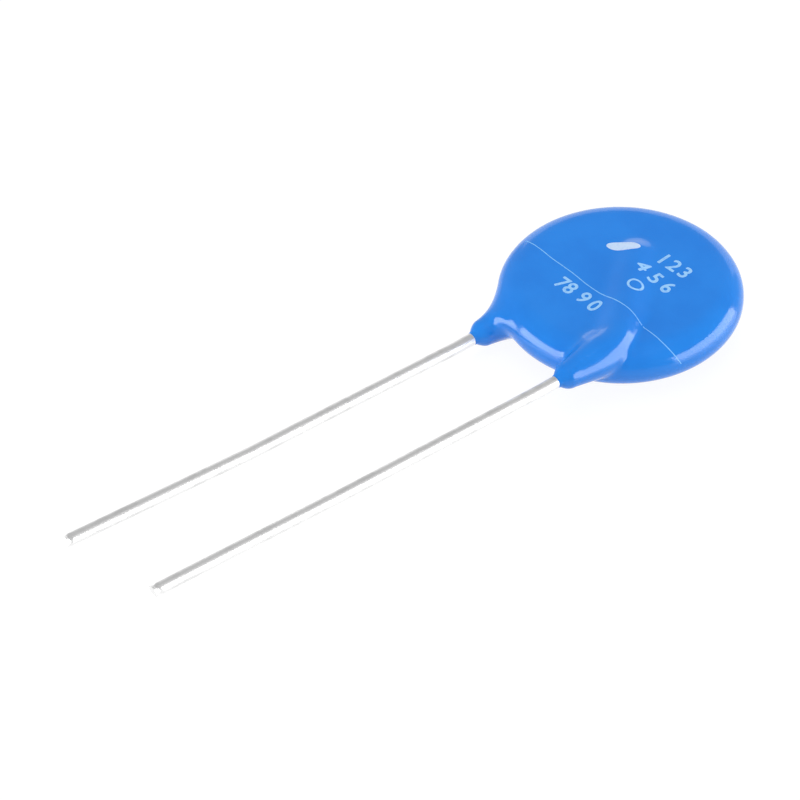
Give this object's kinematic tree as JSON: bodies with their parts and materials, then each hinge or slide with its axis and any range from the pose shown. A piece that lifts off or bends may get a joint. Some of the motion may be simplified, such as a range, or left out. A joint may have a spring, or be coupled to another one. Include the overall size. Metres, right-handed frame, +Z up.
{
  "type": "metal oxide varistor",
  "caption": "Blue epoxy-dipped disc varistor with long straight tinned wires, lying on its rear face.",
  "frame": {"origin": "on the surface that the part lies on, under the middle of its outline", "axes": "+Y from the cut ends of the wires towards the disc, +Z up out of the front face, +X towards the side on which the front wire leaves"},
  "size_m": [0.0148, 0.0469, 0.0043],
  "materials": {
    "coating": "glossy dipped epoxy",
    "ceramic": "matt sintered",
    "electrode": "matt fired silver",
    "solder": "satin solder",
    "lead": "satin tinned copper"
  },
  "bodies": {
    "root": {"coating": "coating", "ceramic_disc": "ceramic", "front_electrode": "electrode", "rear_electrode": "electrode", "front_solder": "solder", "rear_solder": "solder", "front_lead": "lead", "rear_lead": "lead"}
  },
  "joints": []
}
